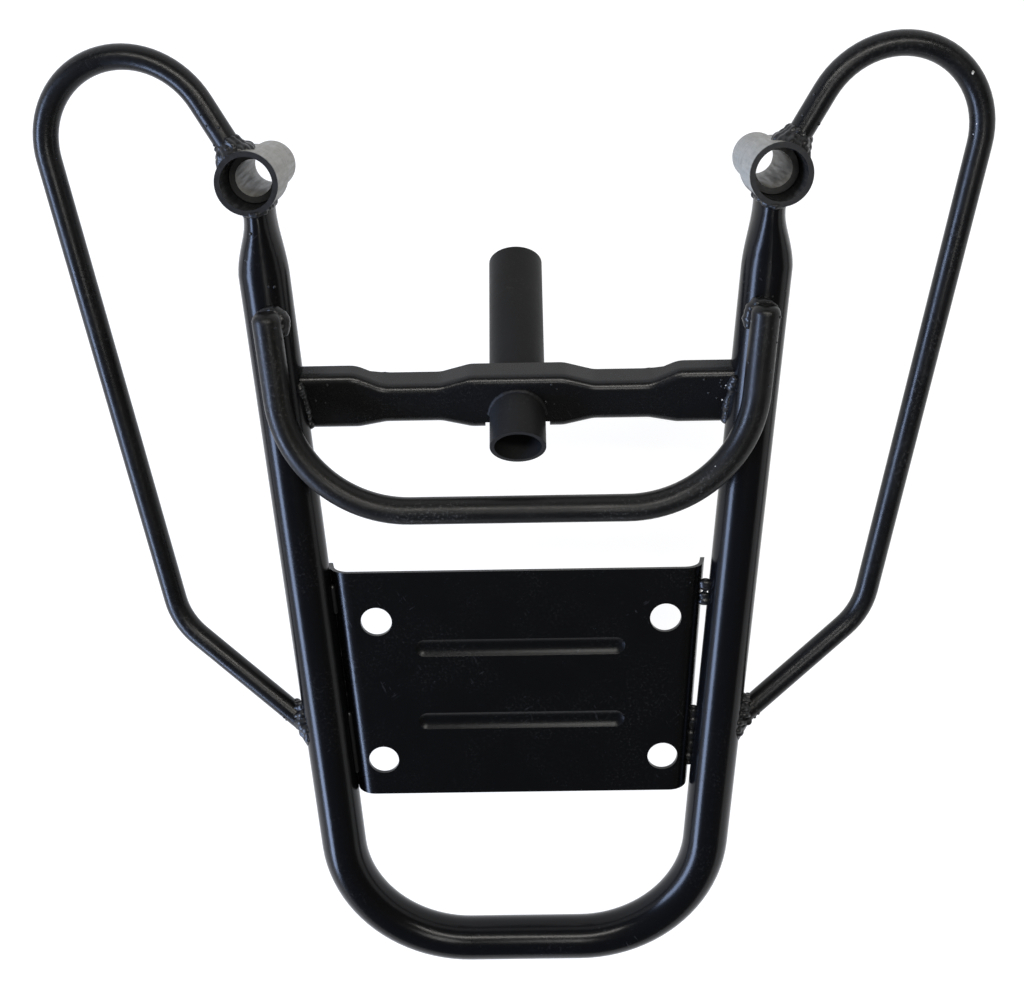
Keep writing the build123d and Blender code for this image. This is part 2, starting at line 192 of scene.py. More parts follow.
def soft_lamp(name, place, width, height, watts, colour):
    lamp = bpy.data.lights.new(name, "AREA")
    lamp.shape = "RECTANGLE"
    lamp.size = width
    lamp.size_y = height
    lamp.energy = watts
    lamp.color = colour
    holder = bpy.data.objects.new(name, lamp)
    bpy.context.scene.collection.objects.link(holder)
    aim = RACK_MIDDLE - Vector(place)
    facing = aim.to_track_quat("-Z", "Y").to_matrix().to_4x4()
    holder.matrix_world = Matrix.Translation(place) @ facing
    holder.visible_camera = False
    return holder


lamps = [
    soft_lamp("window_left", (-1.98, -0.54, 1.05), width=2.55, height=0.6, watts=110.0,
              colour=(0.52, 0.66, 1.0)),
    soft_lamp("ceiling_front", (0.1, 0.95, 1.45), width=1.8, height=0.2, watts=20.0,
              colour=(1.0, 0.97, 0.93)),
    soft_lamp("ceiling_middle", (0.2, 0.2, 1.4), width=0.35, height=0.35, watts=3.2,
              colour=(1.0, 0.98, 0.95))]
world = bpy.data.worlds.new("studio_world")
world.use_nodes = True
feed(world.node_tree, world.node_tree.nodes["Background"], Color=WORLD_COLOUR,
     Strength=WORLD_STRENGTH)
bpy.context.scene.world = world
print("lamps:", [lamp.name for lamp in lamps], "and", world.name)

# %% [markdown]
# ## Tools for the paint effects
# Sprayed enamel on steel is never a flat black, and its effects are shared by several paints.
# Each effect becomes a node group, built once, which a material places with its own strength.
# These tools open a group, find the place on the metal, give noise and let a value rise softly
# between two limits. The place is in Object coordinates, so a pattern stays on the metal from any
# side. Noise can be turned and then stretched, so that streaks lie at an angle.


# %% Effect tools
def new_group(name, inputs, outputs):
    group = bpy.data.node_groups.new(name, "ShaderNodeTree")
    number = "NodeSocketFloat"
    for label, value in inputs.items():
        socket = group.interface.new_socket(label, in_out="INPUT", socket_type=number)
        socket.default_value = value
    for label in outputs:
        group.interface.new_socket(label, in_out="OUTPUT", socket_type=number)
    entry = group.nodes.new("NodeGroupInput")
    exit_node = group.nodes.new("NodeGroupOutput")
    return group, entry.outputs, exit_node.inputs


def metal_place(tree):
    return add_node(tree, "TexCoord").outputs["Object"]


def noise(tree, where, scale, detail=2.0, roughness=0.5, stretch=None, turn=(0, 0, 0)):
    if stretch:
        where = add_node(tree, "Mapping", {"vector_type": "TEXTURE"}, Vector=where, Scale=stretch,
                         Rotation=turn).outputs[0]
    return add_node(tree, "TexNoise", Vector=where, Scale=scale, Detail=detail,
                    Roughness=roughness).outputs[0]


def ramp(tree, value, low, high, to_low=0.0, to_high=1.0):
    return add_node(tree, "MapRange", {"interpolation_type": "SMOOTHSTEP"}, Value=value,
                    From_Min=low, From_Max=high, To_Min=to_low, To_Max=to_high).outputs[0]


print("effect tools ready")

# %% [markdown]
# ## The paint film
# A sprayed film has orange peel and a few dust nibs caught in it, and its gloss drifts from place
# to place, with a fine grit on rough steel. Peel and nibs could be modelled, but they are far
# thinner than any outline shows, so they become one height for a bump. Drift and grit change the
# roughness.

# %% Paint film group
film, film_in, film_out = new_group(
    "paint_film", {"Peel": 1.0, "Nibs": 1.0, "Gloss Drift": 0.1, "Grit": 0.1, "Roughness": 0.35},
    ["Height", "Roughness"])
here = metal_place(film)
peel = noise(film, here, scale=520, detail=3, roughness=0.55)
peel = math_node(film, "MULTIPLY", peel, film_in["Peel"])
cells = add_node(film, "TexVoronoi", Vector=here, Scale=260).outputs["Distance"]
nibs = math_node(film, "MULTIPLY", ramp(film, cells, 0.16, 0.05), film_in["Nibs"])
film.links.new(math_node(film, "ADD", peel, nibs), film_out["Height"])

gloss = film_in["Roughness"]
drift = noise(film, here, scale=48, detail=6, roughness=0.75)
grit = noise(film, here, scale=1900, detail=1)
for change, strength in ((drift, "Gloss Drift"), (grit, "Grit")):
    change = math_node(film, "SUBTRACT", change, 0.5)
    change = math_node(film, "MULTIPLY", change, film_in[strength])
    gloss = math_node(film, "ADD", gloss, change)
film.links.new(gloss, film_out["Roughness"])
print("group:", film.name)

# %% [markdown]
# ## Wear from handling
# Straps and hands leave hairline scuffs, and pale dust settles on what faces up. Scuffs could be
# drawn one by one, but long thin noise gives endless hairs, here in two directions, and a coarse
# noise keeps them to patches. Dust is fine noise on upward faces, in patches too.

# %% Handling wear group
wear, wear_in, wear_out = new_group(
    "handling_wear", {"Scuffs": 1.0, "Dust": 1.0}, ["Scuff", "Dust"])
here = metal_place(wear)
hairs = []
for turn in (0.5, -0.9):
    hair = noise(wear, here, scale=900, detail=1, roughness=0.4, stretch=(1, 18, 1),
                 turn=(0.2, 0.1, turn))
    hairs.append(ramp(wear, hair, 0.70, 0.76))
patch = ramp(wear, noise(wear, here, scale=38), 0.52, 0.68)
scuff = math_node(wear, "MULTIPLY", math_node(wear, "MAXIMUM", *hairs), patch)
wear.links.new(math_node(wear, "MULTIPLY", scuff, wear_in["Scuffs"]), wear_out["Scuff"])

normal = add_node(wear, "NewGeometry").outputs["Normal"]
upward = add_node(wear, "SeparateXYZ", Vector=normal).outputs["Z"]
specks = ramp(wear, noise(wear, here, scale=700, detail=5, roughness=0.7), 0.5, 0.8)
settle = math_node(wear, "MULTIPLY", ramp(wear, upward, 0.1, 0.95), specks)
patch = ramp(wear, noise(wear, here, scale=26, detail=3), 0.4, 0.7)
settle = math_node(wear, "MULTIPLY", settle, patch)
wear.links.new(math_node(wear, "MULTIPLY", settle, wear_in["Dust"]), wear_out["Dust"])
print("group:", wear.name)

# %% [markdown]
# ## Chips in the paint
# Knocks have broken out a few flakes, and the bare metal shows as pale specks: one on the right
# loop stands out, and smaller ones lie near it, on the hoop and on the channel. They could be
# modelled as dents, but paint is too thin for that. A place guessed in whole millimetres is moved
# to the nearest point of the solid, and what lies closer to it than a ragged radius is bare.

# %% Paint chips group
CHIPS = (                                   # solid, place and radius in millimetres
    ("right_grab_loop", (190, 282, -3), 1.0), ("right_grab_loop", (199, 266, -3), 0.45),
    ("right_grab_loop", (193, 261, -4), 0.4), ("right_grab_loop", (190, 257, -4), 0.5),
    ("front_hoop", (87, 119, 17), 0.5), ("front_hoop", (100, 183, 13), 0.6),
    ("cross_channel", (93, 150, 0), 0.7), ("cross_channel", (92, 143, -4), 0.6))
CHIP_RAGGED = 0.5 * MM                      # how far the noise eats into a chip
CHIP_CORE = 0.6                             # share of the radius that is fully bare

chips, _, chips_out = new_group("paint_chips", {}, ["Chip"])
here = metal_place(chips)
ragged = ramp(chips, noise(chips, here, scale=1500), 0.3, 0.7, 0.0, CHIP_RAGGED)
chipped = 0.0
for solid, guess, radius in CHIPS:
    place = nodes[solid].closest_point_on_mesh(Vector(guess) * MM)[1]
    gap = add_node(chips, "VectorMath", {"operation": "DISTANCE"}, i0=here, i1=place)
    gap = math_node(chips, "ADD", gap.outputs["Value"], ragged)
    spot = ramp(chips, gap, radius * MM, CHIP_CORE * radius * MM)
    chipped = math_node(chips, "MAXIMUM", spot, chipped)
chips.links.new(chipped, chips_out["Chip"])
print("group:", chips.name, "with", len(CHIPS), "chips")

# %% [markdown]
# ## The black paints
# Nearly all of the rack was sprayed black, but it doesn't look the same everywhere. The tube and
# the plate are a smooth satin, and the pressed channel is near them. The loops took the paint
# over rougher steel and look like charcoal, the hoop is mottled, and the post is the mattest.
# Paint also pools on weld metal, so the beads have a coat of their own. A paint could be built
# node by node for each of them, but one function keeps them alike and makes them all.

# %% Black paints
DUST = (0.09, 0.088, 0.082, 1)
SCUFF = (0.05, 0.05, 0.052, 1)
BARE_STEEL = (0.62, 0.6, 0.54, 1)
SCUFF_STRENGTH = 0.25
NIB_STRENGTH = 0.6
DUST_DULLS = 0.3                            # roughness that a full coat of dust adds
FILM_DEPTH = 0.06 * MM


def new_paint(name):
    material = bpy.data.materials.new(name)
    material.use_nodes = True
    tree = material.node_tree
    return material, tree, tree.nodes["Principled BSDF"]


def mix_colour(tree, mask, under, over):
    return add_node(tree, "Mix", {"data_type": "RGBA"}, i0=mask, i6=under, i7=over).outputs[2]


def black_paint(name, base, roughness, specular, peel, drift, grit, dust, bump):
    material, tree, shader = new_paint(name)
    skin = add_node(tree, "Group", {"node_tree": film}, Peel=peel, Nibs=NIB_STRENGTH,
                    Gloss_Drift=drift, Grit=grit, Roughness=roughness).outputs
    marks = add_node(tree, "Group", {"node_tree": wear}, Scuffs=SCUFF_STRENGTH, Dust=dust).outputs
    bare = add_node(tree, "Group", {"node_tree": chips}).outputs["Chip"]
    colour = mix_colour(tree, marks["Dust"], (*base, 1), DUST)
    colour = mix_colour(tree, marks["Scuff"], colour, SCUFF)
    colour = mix_colour(tree, bare, colour, BARE_STEEL)
    dulled = math_node(tree, "MULTIPLY", marks["Dust"], DUST_DULLS)
    dulled = math_node(tree, "ADD", skin["Roughness"], dulled)
    raised = add_node(tree, "Bump", Strength=bump, Distance=FILM_DEPTH, Height=skin["Height"])
    feed(tree, shader, Base_Color=colour, Roughness=dulled, Specular_IOR_Level=specular,
         Normal=raised.outputs[0])
    return material


satin_black = black_paint("satin_black", (0.0028, 0.0029, 0.0034), roughness=0.21, specular=0.19,
                          peel=0.7, drift=0.10, grit=0.04, dust=0.15, bump=0.4)
sheet_black = black_paint("sheet_black", (0.0016, 0.0017, 0.0019), roughness=0.26, specular=0.26,
                          peel=0.7, drift=0.12, grit=0.04, dust=0.18, bump=0.35)
pressed_black = black_paint("pressed_black", (0.0040, 0.0040, 0.0042), roughness=0.27, specular=0.3,
                            peel=0.8, drift=0.14, grit=0.04, dust=0.2, bump=0.3)
charcoal = black_paint("charcoal_black", (0.0040, 0.0041, 0.0042), roughness=0.30, specular=0.24,
                       peel=1.3, drift=0.4, grit=0.14, dust=0.5, bump=0.8)
hoop_black = black_paint("mottled_black", (0.0044, 0.0042, 0.0038), roughness=0.36, specular=0.23,
                         peel=1.6, drift=0.5, grit=0.2, dust=0.9, bump=0.9)
post_black = black_paint("post_black", (0.0080, 0.0080, 0.0081), roughness=0.52, specular=0.16,
                         peel=1.5, drift=0.2, grit=0.14, dust=0.5, bump=0.8)
bead_black = black_paint("bead_black", (0.0060, 0.0061, 0.0065), roughness=0.33, specular=0.33,
                         peel=0.8, drift=0.2, grit=0.1, dust=0.3, bump=0.5)
paints = (satin_black, sheet_black, pressed_black, charcoal, hoop_black, post_black, bead_black)
print("paints:", [paint.name for paint in paints])

# %% [markdown]
# ## Lines of the rack
# The overspray and the beads have to know where the pieces run. That could be measured on the
# solids, but a few sizes of the rack say it: the splay and height of the legs, the middle of each
# front ring and the way in which its loop leaves it. Left and right mirror each other, so a side
# is -1 or 1. These sizes are in millimetres.

# %% Sizes in millimetres
SIDES = ((-1, "left"), (1, "right"))
TUBE_R = 11.1
TUBE_Z = -5.0                               # height of the centre line of the tube
LEG_HALF_SPACING = 97.0                     # at the middle of the plate
LEG_SLOPE = math.tan(math.radians(3.45))
BUSHING_Y = 243.3
BUSHING_X = LEG_HALF_SPACING + BUSHING_Y * LEG_SLOPE
LOOP_TURN = math.radians(29.6)              # outwards from +Y


def leg_point(side, y):
    return Vector((side * (LEG_HALF_SPACING + y * LEG_SLOPE), y, TUBE_Z))


def leg_forward(side):
    return Vector((side * LEG_SLOPE, 1, 0)).normalized()


def leg_inwards(side):
    return leg_forward(side).cross(UP) * -side


def loop_outwards(side):
    return Vector((side * math.sin(LOOP_TURN), math.cos(LOOP_TURN), 0))


print("rings at x", round(BUSHING_X, 1), "and y", BUSHING_Y)

# %% [markdown]
# ## Where the black covers the bushing pipes
# The front rings and the spacer pipes under them are grey outside. The black came from above and
# from behind: it covers the rim and the inside of each ring, and it drifts with a soft ragged
# edge round the loop and the leg. Such an edge could be painted by hand, but a mask finds it from
# the height and from the distance and direction to the axis of the ring, and then fits both
# sides.

# %% Masks of the overspray
SLEEVE_EDGE = (-12.8, -12.3)                # heights between which a spacer pipe turns black
RIM_EDGE = (5.4, 6.4)                       # the same for the outside of a ring
INSIDE_EDGE = (13.2, 12.9)                  # radii between which a ring turns black
SPRAYED = ((loop_outwards(1), 0.88), (Vector((-LEG_SLOPE, -1, 0)), 0.62))     # way, nearness
SPRAY_SOFT = (-0.07, 0.05)
SPRAY_RAGGED = 0.16


def edge_ramp(tree, value, edge):
    return ramp(tree, value, edge[0] * MM, edge[1] * MM)


def sleeve_cover(tree, here):
    height = add_node(tree, "SeparateXYZ", Vector=here).outputs["Z"]
    return edge_ramp(tree, height, SLEEVE_EDGE)


def ring_cover(tree, here):
    spot = add_node(tree, "SeparateXYZ", Vector=here).outputs
    out = math_node(tree, "SUBTRACT", math_node(tree, "ABSOLUTE", spot["X"]), BUSHING_X * MM)
    ahead = math_node(tree, "SUBTRACT", spot["Y"], BUSHING_Y * MM)
    spoke = add_node(tree, "CombineXYZ", X=out, Y=ahead).outputs[0]
    radius = add_node(tree, "VectorMath", {"operation": "LENGTH"}, i0=spoke).outputs["Value"]
    heading = add_node(tree, "VectorMath", {"operation": "NORMALIZE"}, i0=spoke).outputs[0]
    cover = math_node(tree, "MAXIMUM", edge_ramp(tree, radius, INSIDE_EDGE),
                      edge_ramp(tree, spot["Z"], RIM_EDGE))
    ragged = noise(tree, here, scale=260, detail=4, roughness=0.65)
    ragged = ramp(tree, ragged, 0.0, 1.0, -SPRAY_RAGGED, SPRAY_RAGGED)
    for way, edge in SPRAYED:
        near = add_node(tree, "VectorMath", {"operation": "DOT_PRODUCT"}, i0=heading, i1=way)
        near = math_node(tree, "ADD", near.outputs["Value"], ragged)
        sprayed = ramp(tree, near, edge + SPRAY_SOFT[0], edge + SPRAY_SOFT[1])
        cover = math_node(tree, "MAXIMUM", cover, sprayed)
    return cover


print("masks for ring and spacer pipe ready")

# %% [markdown]
# ## The grey of the bushing pipes
# The pipes are a matt light grey with faint lengthwise draw marks and small stains. The marks
# could be cut into the pipe, but they are too fine to show in the outline. One noise, drawn out
# along the pipe, gives them in colour, gloss and height together, so that the three agree.

# %% Grey pipes
GREY_DARK = (0.186, 0.178, 0.148, 1)
GREY_LIGHT = (0.278, 0.266, 0.228, 1)
STAIN = (0.11, 0.105, 0.09, 1)
STAIN_STRENGTH = 0.6
OVERSPRAY = (0.0055, 0.0056, 0.006, 1)
PIPE_SPECULAR = 0.3
MARK_DEPTH = 0.05 * MM


def grey_pipe(name, find_cover):
    material, tree, shader = new_paint(name)
    here = metal_place(tree)
    streak = noise(tree, here, scale=700, detail=3, roughness=0.6, stretch=(1, 1, 12))
    stain = ramp(tree, noise(tree, here, scale=230, detail=5, roughness=0.7), 0.45, 0.75)
    stain = math_node(tree, "MULTIPLY", stain, STAIN_STRENGTH)
    colour = mix_colour(tree, streak, GREY_DARK, GREY_LIGHT)
    colour = mix_colour(tree, stain, colour, STAIN)
    colour = mix_colour(tree, find_cover(tree, here), colour, OVERSPRAY)
    gloss = ramp(tree, streak, 0.2, 0.8, 0.36, 0.6)
    raised = add_node(tree, "Bump", Strength=0.3, Distance=MARK_DEPTH, Height=streak)
    feed(tree, shader, Base_Color=colour, Roughness=gloss, Specular_IOR_Level=PIPE_SPECULAR,
         Normal=raised.outputs[0])
    return material


pipe_grey = grey_pipe("matt_zinc", sleeve_cover)
ring_grey = grey_pipe("oversprayed_zinc", ring_cover)
print("pipe finishes:", pipe_grey.name, ring_grey.name)

# %% [markdown]
# ## Dress the solids
# Every solid keeps its shape and gets its coat. The last word of a solid's name says what it is,
# so a short list from that word to a finish covers all of them.

# %% Coats
COATS = {"tube": satin_black, "plate": sheet_black, "channel": pressed_black, "hoop": hoop_black,
         "loop": charcoal, "post": post_black, "cup": ring_grey, "sleeve": pipe_grey,
         "weld": bead_black}
for name, solid in nodes.items():
    solid.data.materials.clear()
    solid.data.materials.append(COATS[name.split("_")[-1]])
print("painted", len(nodes), "solids")

# %% [markdown]
# ## A drop of weld metal
# A weld bead is a row of pools that froze one after the other, each lapping over the last. A bump
# map could hint at that, but these beads are big and lumpy enough to show in the outline. So one
# drop is modelled from a ball, flattened along the bead and tilted like a fallen coin, and every
# bead is made of copies of it.

# %% One drop
DROP_FLATTENING = (0.6, 1.0, 0.85)
DROP_TILT = math.radians(35)

bpy.ops.mesh.primitive_ico_sphere_add(subdivisions=3, radius=MM)
drop = bpy.context.object
drop.name = "weld_drop"
bpy.ops.object.mode_set(mode="EDIT")
bpy.ops.mesh.select_all(action="SELECT")
bpy.ops.transform.resize(value=DROP_FLATTENING)
bpy.ops.transform.rotate(value=DROP_TILT, orient_axis="Y", center_override=(0, 0, 0))
bpy.ops.object.mode_set(mode="OBJECT")
deselect_all()
print("drop with", len(drop.data.polygons), "faces")

# %% [markdown]
# ## Laying, joining and melting
# Three steps turn copies of a shape into one lump. A copy is laid on the metal with its own mesh,
# turned so that it points along the bead and bulges outwards. The copies are joined. A voxel
# remesh then melts them together, and a little smoothing rounds the voxel steps. A boolean union
# could join them too, but it would leave sharp creases between the drops.

# %% Lay, join, melt
VOXEL = 0.45 * MM


def lay_drop(shape, point, along, out, size):
    side = out.cross(along).normalized()
    turn = Matrix((side.cross(out), side, out)).transposed().to_4x4()
    piece = bpy.data.objects.new("drop", shape.data.copy())
    piece.matrix_world = Matrix.Translation(point) @ turn @ Matrix.Scale(size, 4)
    bpy.context.scene.collection.objects.link(piece)
    return piece


def join_pieces(pieces, name):
    deselect_all()
    for piece in pieces:
        piece.select_set(True)
    bpy.context.view_layer.objects.active = pieces[0]
    bpy.ops.object.join()
    bpy.ops.object.transform_apply(location=True, rotation=True, scale=True)
    joined = bpy.context.object
    joined.name = name
    return joined


def melt(piece, rounds):
    remesh = piece.modifiers.new("melt", "REMESH")
    remesh.mode = "VOXEL"
    remesh.voxel_size = VOXEL
    remesh.use_smooth_shade = True
    smooth = piece.modifiers.new("settle", "SMOOTH")
    smooth.factor = 0.5
    smooth.iterations = rounds
    for step in ("melt", "settle"):
        bpy.ops.object.modifier_apply(modifier=step)


print("drops are melted on a grid of", round(VOXEL / MM, 2), "mm")

# %% [markdown]
# ## From drops to a bead
# A bead is laid along a path of points, each with the direction in which the metal bulges out.
# Every drop differs a little in size and place, as a hand-held torch leaves it: unrest says how
# much. A filled bead also takes in a merged copy of the plain bead of the solids, so that the
# joint is closed. Where the drops close it by themselves, they stand alone.

# %% Bead maker
SEAT_MERGE = 0.002 * MM                     # corners of the plain bead closer than this become one


def merged_copy(solid):
    seat = bpy.data.objects.new("seat", solid.data.copy())
    bpy.context.scene.collection.objects.link(seat)
    deselect_all()
    seat.select_set(True)
    bpy.context.view_layer.objects.active = seat
    bpy.ops.object.mode_set(mode="EDIT")
    bpy.ops.mesh.select_all(action="SELECT")
    bpy.ops.mesh.remove_doubles(threshold=SEAT_MERGE)
    bpy.ops.object.mode_set(mode="OBJECT")
    return seat


def bead(node_name, path, sizes, unrest=0.16, filled=True, rounds=2, coat=bead_black):
    chance = random.Random(node_name)
    pieces = []
    for i, (point, out) in enumerate(path):
        size = sizes[i] if isinstance(sizes, list) else sizes
        before, after = path[max(i - 1, 0)][0], path[min(i + 1, len(path) - 1)][0]
        along = (after - before).normalized()
        stray = Vector([chance.uniform(-1, 1) for _ in range(3)]) * (0.5 * unrest * size * MM)
        swollen = size * (1 + chance.uniform(-unrest, unrest))
        pieces.append(lay_drop(drop, point + stray, along, out, swollen))
    if filled:
        pieces.append(merged_copy(nodes[node_name]))
    whole = join_pieces(pieces, node_name + "_bead")
    melt(whole, rounds)
    whole.data.materials.clear()
    whole.data.materials.append(coat)
    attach(whole, "root")
    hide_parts(node_name)
    deselect_all()
    return whole


print("bead maker ready")

# %% [markdown]
# ## Where the beads run
# A bead follows the line where two pieces meet. That line could be worked out with algebra, but a
# ray finds it for any pair: it starts on the skin of the bar, runs along the bar, and stops at
# the wall that the bar is welded to. The metal bulges halfway between the skin and the wall.


# %% Collar paths
def collar(wall, start, travel, reach_a, reach_b, pitch, first=0.0, last=360.0):
    reach = (reach_a.length + reach_b.length) / 2
    count = max(5, int(math.radians(last - first) * reach / pitch))
    path = []
    for k in range(count + 1):
        angle = math.radians(first + (last - first) * k / count)
        offset = reach_a * math.cos(angle) + reach_b * math.sin(angle)
        hit, place, normal, _ = nodes[wall].ray_cast((start + offset) * MM, travel)
        if hit:
            path.append((place, (offset.normalized() + normal).normalized()))
    return path


print("collar paths ready")

# %% [markdown]
# ## The bead of a loop
# Each grab loop is welded to its front ring and, at its far end, to the outside of the leg. These
# beads are the roughest on the rack: three uneven rings of drops, the first out on the wall and
# the others climbing up the bar. A ring can be part of a turn, which starts at the rear side of
# the bar.

# %% Loop bead
LOOP_R = 5.3
LOOP_RINGS = (                              # reach past the skin, climb, size of the drops
    (1.7, 0.0, 2.7), (0.5, 2.6, 2.3), (-0.2, 5.2, 1.7))
LOOP_PITCH = 2.3
LOOP_FAR = 60                               # the rays start this far out on the bar


def loop_bead(node_name, wall, start, heading, first=0, last=360):
    across = heading.cross(UP).normalized() * math.copysign(1, heading.x)
    path = []
    sizes = []
    for past, climb, size in LOOP_RINGS:
        reach = LOOP_R + past
        ring = collar(wall, start + heading * LOOP_FAR, -heading, across * reach, UP * reach,
                      LOOP_PITCH, first, last)
        path += [(place + heading * (climb * MM), out) for place, out in ring]
        sizes += [size] * len(ring)
    return bead(node_name, path, sizes, unrest=0.36, rounds=6)


print("loop beads have", len(LOOP_RINGS), "rings")

# %% [markdown]
# ## Beads at the bushings and loops
# Each front ring is welded to the pressed oval end of its leg, all round, and to the start of a
# grab loop. The spacer pipe is welded under the ring with an even seam, which stayed grey. Where
# the loop meets the leg, the welder left the rear side bare.

# %% Bushing and loop beads
PRESS_HALF_WIDTH = 6.9                      # of the oval end of the leg
PRESS_HALF_HEIGHT = 11.5
PRESS_SHIFT = 1.8                           # its middle lies this far inwards
PRESS_FAR = 40                              # the rays start this far back on the leg
LOOP_END_Y = -29.9
LOOP_CORNER_Y = 32.8                        # last corner of the loop before the leg
LOOP_CORNER_OUT = 65.6
LOOP_CORNER_RISE = -10.0
LOOP_LEG_ARC = (60, 300)
SEAM_R = 11.6                               # seam between ring and spacer pipe
SEAM_DEPTH = 17.9
SEAM_STEPS = 37


def sleeve_seam(centre):
    path = []
    for k in range(SEAM_STEPS + 1):
        angle = k * math.tau / SEAM_STEPS
        spoke = Vector((math.cos(angle), math.sin(angle), 0))
        path.append(((centre + spoke * SEAM_R - UP * SEAM_DEPTH) * MM, (spoke - UP).normalized()))
    return path


for side, word in SIDES:
    cup = word + "_bushing_cup"
    centre = leg_point(side, BUSHING_Y)
    forward, inwards = leg_forward(side), leg_inwards(side)
    back = centre + inwards * PRESS_SHIFT - forward * PRESS_FAR
    ring = collar(cup, back, forward, inwards * PRESS_HALF_WIDTH, UP * PRESS_HALF_HEIGHT,
                  pitch=1.5)
    made = [bead(word + "_leg_weld", ring, sizes=1.5, unrest=0.25, filled=False, rounds=4)]
    made.append(loop_bead(word + "_loop_cup_weld", cup, centre, loop_outwards(side)))
    end = leg_point(side, LOOP_END_Y)
    corner = leg_point(side, LOOP_CORNER_Y) + Vector((side * LOOP_CORNER_OUT, 0, LOOP_CORNER_RISE))
    heading = (corner - end).normalized()
    made.append(loop_bead(word + "_loop_leg_weld", "main_frame_tube", end, heading, *LOOP_LEG_ARC))
    made.append(bead(word + "_sleeve_weld", sleeve_seam(centre), sizes=1.6, coat=pipe_grey))
    print(word, "beads:", [len(piece.data.polygons) for piece in made])

# %% [markdown]
# ## The path round a hoop tip
# The hoop lies on the legs, and a bead runs low round the rounded tip of each arm. It starts thin
# on the outer side, swells to a thick curl past the tip and thins out along the inner side. A
# drawn curve could give the path, but it is followed by its length, first as an arc and then as a
# straight line back along the arm, so that the drops are evenly spaced.

# %% Hoop path
HOOP_R = 6.25
HOOP_INSET = 1.5                            # the arms lie this far inside the middle of the legs
HOOP_GAP = 0.05
HOOP_Z = TUBE_Z + math.sqrt((TUBE_R + HOOP_R + HOOP_GAP) ** 2 - HOOP_INSET ** 2)
HOOP_TIP_Y = 190.0
HOOP_DROPS = 17
HOOP_PITCH = 1.5
ARC_HALF = 9.6                              # length of the arc from the tip to either side
ARC_R = 6.1
HOOP_BEAD_DEPTH = 5.2                       # below the middle of the arm
HOOP_BULGE = (0.8, 0.6)                     # share outwards and share upwards
THIN, THICK = 1.5, 3.2                      # sizes of the drops
SWELL = 0.4                                 # how fast they grow and shrink along the path
CURL_END = 15.5


def hoop_path(side):
    forward, inwards = leg_forward(side), leg_inwards(side)
    onto_leg = Vector((-side * HOOP_INSET, 0, HOOP_Z - TUBE_Z))
    tip = leg_point(side, HOOP_TIP_Y) + onto_leg - forward * HOOP_R
    path = []
    sizes = []
    for k in range(HOOP_DROPS):
        run = HOOP_PITCH * k - ARC_HALF
        round_tip = max(-ARC_HALF, min(ARC_HALF, run))
        spoke = forward * math.cos(round_tip / ARC_R) + inwards * math.sin(round_tip / ARC_R)
        spot = tip + spoke * HOOP_R - forward * abs(run - round_tip)
        out = (spoke * HOOP_BULGE[0] + UP * HOOP_BULGE[1]).normalized()
        path.append(((spot - UP * HOOP_BEAD_DEPTH) * MM, out))
        sizes.append(max(THIN, min(THICK, THIN + SWELL * run, THIN + SWELL * (CURL_END - run))))
    return path, sizes


print("hoop path with", HOOP_DROPS, "drops at height", round(HOOP_Z - HOOP_BEAD_DEPTH, 1), "mm")

# %% [markdown]
# ## The path down a channel end
# The channel is welded down the corner between its leaning web and each leg. The tube is round
# and the web leans, so that corner is a curve, and rays from just above the web out to the tube
# find it.

# %% Channel path
WEB_LEAN = 20                               # degrees
WEB_MIDDLE = Vector((0, 144.7, TUBE_Z + 1.4))
WEB_CLEAR = 0.6
CHANNEL_FRONT = 10.5                        # start of the bead, ahead of the middle of the web
CHANNEL_RUN = 23.0
CHANNEL_STEPS = 12
CHANNEL_FAR = 60                            # the rays start this far out from the middle


def leaning(degrees):
    lean = math.radians(degrees)
    up = Vector((0, -math.sin(lean), math.cos(lean)))
    return up, Vector((0, math.cos(lean), math.sin(lean)))


def channel_path(side):
    web_up, web_front = leaning(WEB_LEAN)
    path = []
    for k in range(CHANNEL_STEPS + 1):
        ahead = CHANNEL_FRONT - CHANNEL_RUN * k / CHANNEL_STEPS
        start = WEB_MIDDLE + web_front * ahead + web_up * WEB_CLEAR
        start += Vector((side * CHANNEL_FAR, 0, 0))
        _, place, normal, _ = nodes["main_frame_tube"].ray_cast(start * MM, Vector((side, 0, 0)))
        path.append((place, (normal + web_up).normalized()))
    return path


print("channel path with", CHANNEL_STEPS + 1, "drops")

# %% [markdown]
# ## Beads at the hoop, the channel and the post
# Both paths are laid on both sides. The post gets a thin bead over the front half of its slanted
# joint with the web, which is found like the collar of a bar and painted like the post.

# %% Hoop, channel and post beads
POST_LEAN = 40                              # degrees
POST_R = 12.7
POST_MOUTH = Vector((0, 125.7, TUBE_Z + 11.3))
POST_FAR = 20                               # the rays start this far above the mouth
POST_ARC = (4, 176)
POST_PITCH = 0.8

for side, word in SIDES:
    path, sizes = hoop_path(side)
    made = [bead(word + "_hoop_weld", path, sizes, unrest=0.14, filled=False, rounds=4)]
    made.append(bead(word + "_channel_weld", channel_path(side), sizes=2.4, unrest=0.3,
                     filled=False))
    print(word, "beads:", [len(piece.data.polygons) for piece in made])
post_axis, post_front = leaning(POST_LEAN)
half_ring = collar("cross_channel", POST_MOUTH + post_axis * POST_FAR, -post_axis,
                   Vector((POST_R, 0, 0)), post_front * POST_R, POST_PITCH, *POST_ARC)
bead("post_weld", half_ring, sizes=1.3, unrest=0.1, filled=False, rounds=5, coat=post_black)
print("post bead:", len(half_ring), "drops")

